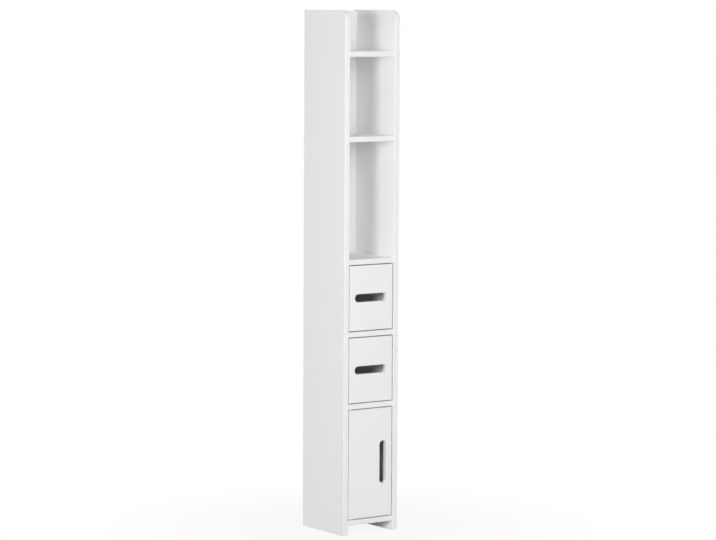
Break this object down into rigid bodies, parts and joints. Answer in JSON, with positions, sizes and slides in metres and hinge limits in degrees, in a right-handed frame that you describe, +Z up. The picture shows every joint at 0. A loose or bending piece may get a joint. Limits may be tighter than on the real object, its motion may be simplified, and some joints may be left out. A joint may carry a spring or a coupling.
{
  "type": "column cabinet",
  "caption": "Tall slim white bathroom column cabinet with open shelves at the top, pull-out drawers and a hinged cupboard door below, all opened by finger slots.",
  "frame": {"origin": "on the floor, at the middle of the footprint", "axes": "+Z up along the height, +X to the right seen from the front, +Y to the back; the front faces -Y"},
  "size_m": [0.204, 0.217, 1.6],
  "materials": {
    "white_board": "satin white melamine-faced board",
    "white_hardboard": "white-faced hardboard",
    "grey_board": "satin grey melamine-faced board",
    "grey_hardboard": "grey-faced hardboard",
    "beech": "raw fluted beech",
    "white_plastic": "moulded, matte",
    "nylon": "natural nylon",
    "zinc": "die-cast or zinc-plated",
    "steel": "plated steel",
    "white_metal": "white powder coat",
    "ferrite": "matte ferrite"
  },
  "bodies": {
    "carcass": {"left_side_panel": "white_board", "right_side_panel": "white_board", "back_panel": "white_hardboard", "upper_shelf": "white_board", "middle_shelf": "white_board", "lower_shelf": "white_board", "drawer_divider": "white_board", "cupboard_divider": "white_board", "bottom_panel": "white_board", "cam_locks": "zinc", "cam_bolts": "steel", "cam_covers": "white_plastic", "wood_dowels": "beech", "back_panel_nails": "steel", "upper_drawer_left_runner": "white_plastic", "upper_drawer_right_runner": "white_plastic", "lower_drawer_left_runner": "white_plastic", "lower_drawer_right_runner": "white_plastic", "runner_screws": "zinc", "upper_hinge_bush": "nylon", "lower_hinge_bush": "nylon", "catch_housing": "white_plastic", "catch_magnet": "ferrite", "catch_pole_plates": "steel", "catch_screws": "zinc", "wall_bracket": "white_metal", "wall_bracket_screws": "zinc"},
    "upper_drawer": {"upper_drawer_front": "white_board", "upper_drawer_left_side": "grey_board", "upper_drawer_right_side": "grey_board", "upper_drawer_back": "grey_board", "upper_drawer_base": "grey_hardboard", "upper_drawer_cam_locks": "zinc", "upper_drawer_cam_bolts": "steel", "upper_drawer_dowels": "beech", "upper_drawer_screws": "zinc"},
    "lower_drawer": {"lower_drawer_front": "white_board", "lower_drawer_left_side": "grey_board", "lower_drawer_right_side": "grey_board", "lower_drawer_back": "grey_board", "lower_drawer_base": "grey_hardboard", "lower_drawer_cam_locks": "zinc", "lower_drawer_cam_bolts": "steel", "lower_drawer_dowels": "beech", "lower_drawer_screws": "zinc"},
    "door": {"door_panel": "white_board", "upper_hinge_pin": "steel", "lower_hinge_pin": "steel", "strike_plate": "steel", "strike_screws": "zinc"}
  },
  "joints": [
    {"name": "upper_drawer_slide", "type": "slide", "parent": "carcass", "child": "upper_drawer", "axis": [0, -1, 0], "range_m": [0, 0.13]},
    {"name": "lower_drawer_slide", "type": "slide", "parent": "carcass", "child": "lower_drawer", "axis": [0, -1, 0], "range_m": [0, 0.13]},
    {"name": "door_hinge", "type": "hinge", "parent": "carcass", "child": "door", "pos_m": [-0.073, -0.102, 0.217], "axis": [0, 0, -1], "range_deg": [0, 110]}
  ]
}
